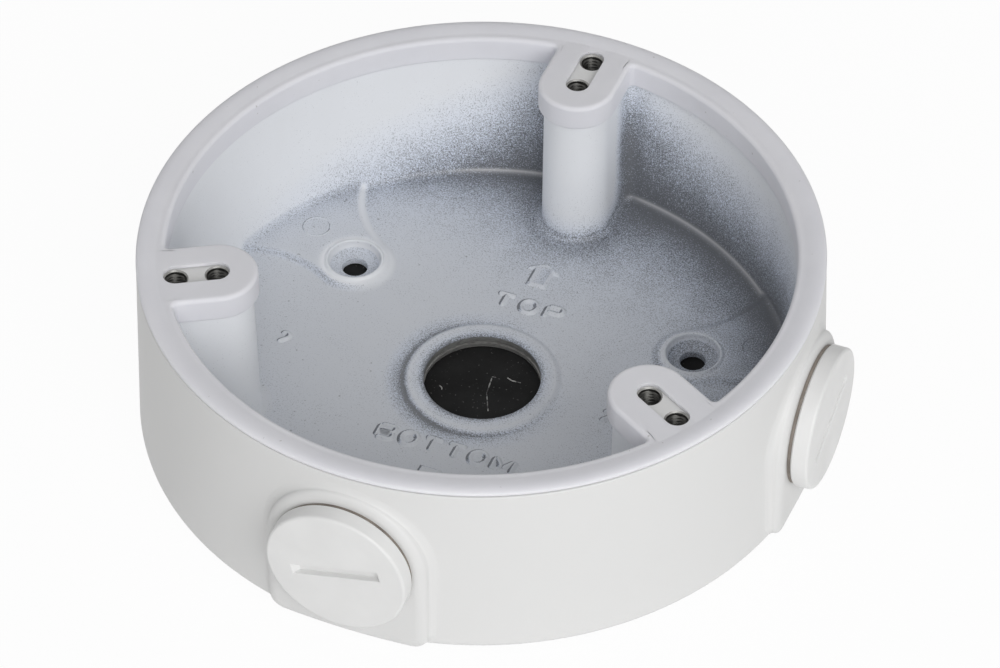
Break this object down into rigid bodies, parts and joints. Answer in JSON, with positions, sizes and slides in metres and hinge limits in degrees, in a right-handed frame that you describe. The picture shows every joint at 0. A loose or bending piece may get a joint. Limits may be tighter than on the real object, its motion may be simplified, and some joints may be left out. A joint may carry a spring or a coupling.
{
  "type": "camera junction box",
  "caption": "Round die-cast junction box for mounting a camera, with tapped columns inside, a soft seal on its rim and screw plugs in its side cable entries.",
  "frame": {"origin": "middle of the gasket's face that lies on the wall", "axes": "+Z out of the box's mouth, away from the wall; +Y towards the side marked as the top; +X towards the side port"},
  "size_m": [0.1285, 0.1285, 0.0378],
  "materials": {
    "powder_coat": "matte warm-white powder coat on die-cast aluminium, thin and speckled low inside",
    "silicone": "satin, slightly bluish white silicone rubber",
    "foam_rubber": "dull black closed-cell foam rubber",
    "plug_paint": "fine matte white",
    "ring_rubber": "dull grey-brown rubber"
  },
  "bodies": {
    "housing": {"housing": "powder_coat", "top_seal": "silicone", "rear_gasket": "foam_rubber"},
    "bottom_ring": {"bottom_plug_ring": "ring_rubber"},
    "bottom_plug": {"bottom_plug": "plug_paint"},
    "side_ring": {"side_plug_ring": "ring_rubber"},
    "side_plug": {"side_plug": "plug_paint"}
  },
  "joints": [
    {"name": "bottom_plug_travel", "type": "slide", "parent": "housing", "child": "bottom_ring", "axis": [0, -1, 0], "range_m": [0, 0.0076]},
    {"name": "bottom_plug_turn", "type": "hinge", "parent": "bottom_ring", "child": "bottom_plug", "pos_m": [0, -0.0624, 0.0186], "axis": [0, -1, 0], "range_deg": [0, 1800]},
    {"name": "side_plug_travel", "type": "slide", "parent": "housing", "child": "side_ring", "axis": [1, 0, 0], "range_m": [0, 0.0076]},
    {"name": "side_plug_turn", "type": "hinge", "parent": "side_ring", "child": "side_plug", "pos_m": [0.0624, 0, 0.0186], "axis": [1, 0, 0], "range_deg": [0, 1800]}
  ],
  "couplings": [
    {"joint": "bottom_plug_travel", "follows": "bottom_plug_turn", "m_per_rad": 0.00023873},
    {"joint": "side_plug_travel", "follows": "side_plug_turn", "m_per_rad": 0.00023873}
  ]
}
